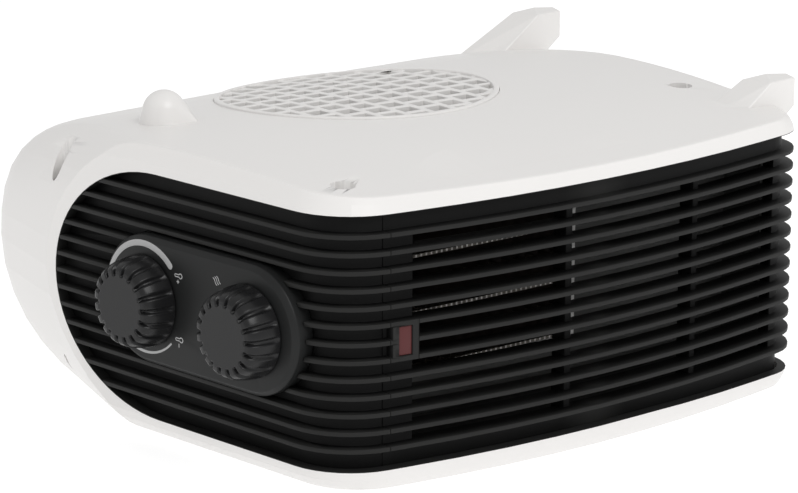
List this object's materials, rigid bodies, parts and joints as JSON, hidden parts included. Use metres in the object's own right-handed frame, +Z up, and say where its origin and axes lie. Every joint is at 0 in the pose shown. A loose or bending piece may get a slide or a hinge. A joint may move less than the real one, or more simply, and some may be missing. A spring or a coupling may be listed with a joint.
{
  "type": "fan heater",
  "caption": "Flat portable fan heater with a ribbed black front, two rotary knobs, a round top air intake and three feet on a white casing.",
  "frame": {"origin": "on the flat underside, below the middle of the casing in plan", "axes": "+Z up, the outlet grille faces -Y, the control knobs face -X, the base end with the wedge feet faces +X"},
  "size_m": [0.2881, 0.2494, 0.124],
  "materials": {
    "white_plastic": "satin moulded white plastic",
    "black_plastic": "fine matt moulded black plastic",
    "plate_plastic": "matt anthracite plastic",
    "knob_plastic": "semi-gloss anthracite plastic",
    "inner_plastic": "matt black heat-resistant plastic",
    "steel": "plain steel",
    "ribbon_alloy": "bare resistance alloy",
    "mica": "pressed mica sheet",
    "core_steel": "laminated core steel",
    "copper_coil": "enamelled winding under tape",
    "ceramic": "glazed ceramic and phenolic",
    "red_lens": "clear dark red plastic",
    "lamp_glass": "neon lamp glass"
  },
  "bodies": {
    "housing": {"upper_shell": "white_plastic", "lower_shell": "white_plastic", "intake_grille": "white_plastic", "outlet_grille": "black_plastic", "control_fascia": "black_plastic", "control_plate": "plate_plastic", "thermostat": "ceramic", "selector_switch": "inner_plastic", "pilot_lens": "red_lens", "pilot_lamp": "lamp_glass", "heater_frame": "mica", "heater_ribbons": "ribbon_alloy", "thermal_cutout": "ceramic", "air_guide": "inner_plastic", "scroll_housing": "inner_plastic", "scroll_cover": "inner_plastic", "motor_core": "core_steel", "motor_coil": "copper_coil", "motor_brackets": "steel", "motor_screws": "steel", "terminal_block": "ceramic", "cord_gland": "inner_plastic", "shell_screws": "steel"},
    "thermostat_dial": {"thermostat_knob": "knob_plastic", "thermostat_spindle": "steel"},
    "selector_dial": {"selector_knob": "knob_plastic", "selector_spindle": "steel"},
    "fan_rotor": {"impeller": "inner_plastic", "impeller_clip": "steel", "motor_shaft": "steel", "motor_rotor": "core_steel"}
  },
  "joints": [
    {"name": "thermostat_turn", "type": "hinge", "parent": "housing", "child": "thermostat_dial", "pos_m": [-0.13098, -0.01508, 0.0556], "axis": [-0.9951, -0.0993, 0], "range_deg": [-300, 0]},
    {"name": "selector_turn", "type": "hinge", "parent": "housing", "child": "selector_dial", "pos_m": [-0.12534, -0.0716, 0.0556], "axis": [-0.9951, -0.0993, 0], "range_deg": [-270, 0]},
    {"name": "fan_spin", "type": "hinge", "parent": "housing", "child": "fan_rotor", "pos_m": [-0.01008, 0.01661, 0.05], "axis": [0, 0, 1], "continuous": true}
  ]
}
